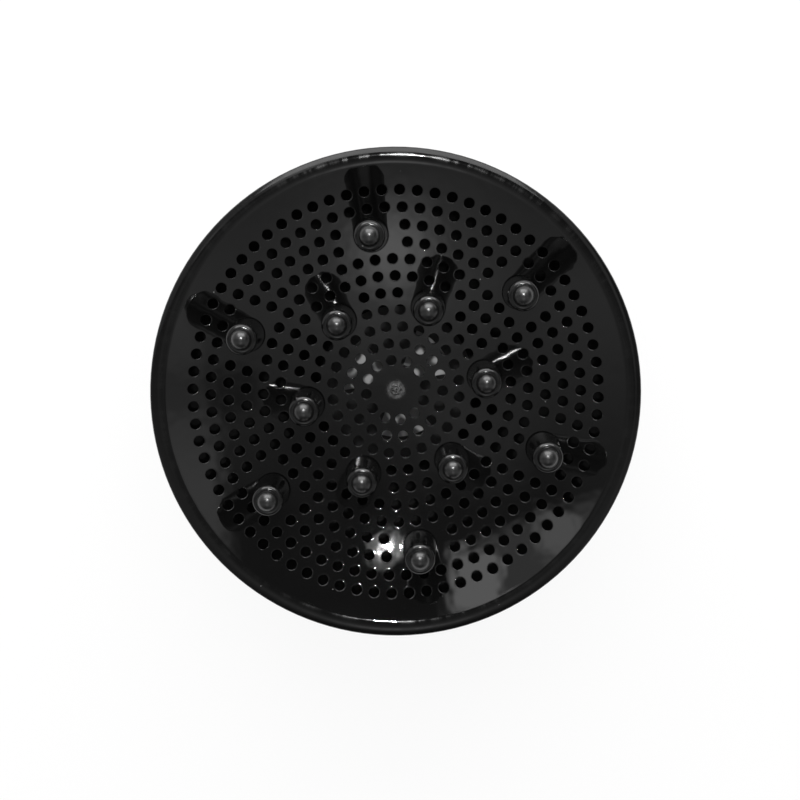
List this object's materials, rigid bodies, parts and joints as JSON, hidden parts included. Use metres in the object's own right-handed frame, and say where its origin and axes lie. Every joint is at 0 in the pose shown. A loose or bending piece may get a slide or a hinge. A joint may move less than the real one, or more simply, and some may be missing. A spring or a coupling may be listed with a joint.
{
  "type": "dryer diffuser",
  "caption": "Round hair dryer diffuser: a shallow perforated dish with upright rounded fingers, a rounded lip, and a funnel back whose neck slips over the dryer's nozzle.",
  "frame": {"origin": "centre of the nozzle socket's mouth, at the outer face of the grip sleeve", "axes": "+Z along the socket's axis towards the finger tips; +X towards the first inner finger"},
  "size_m": [0.15, 0.15, 0.0879],
  "materials": {
    "dish": "gloss",
    "finger": "gloss, satin at the tip",
    "shell": "satin",
    "screen": "satin",
    "sleeve": "matt"
  },
  "bodies": {
    "root": {"front_dish": "dish", "finger_inner_1": "finger", "finger_inner_2": "finger", "finger_inner_3": "finger", "finger_inner_4": "finger", "finger_inner_5": "finger", "finger_inner_6": "finger", "finger_outer_1": "finger", "finger_outer_2": "finger", "finger_outer_3": "finger", "finger_outer_4": "finger", "finger_outer_5": "finger", "finger_outer_6": "finger", "rear_shell": "shell", "throat_screen": "screen", "grip_sleeve": "sleeve"}
  },
  "joints": []
}
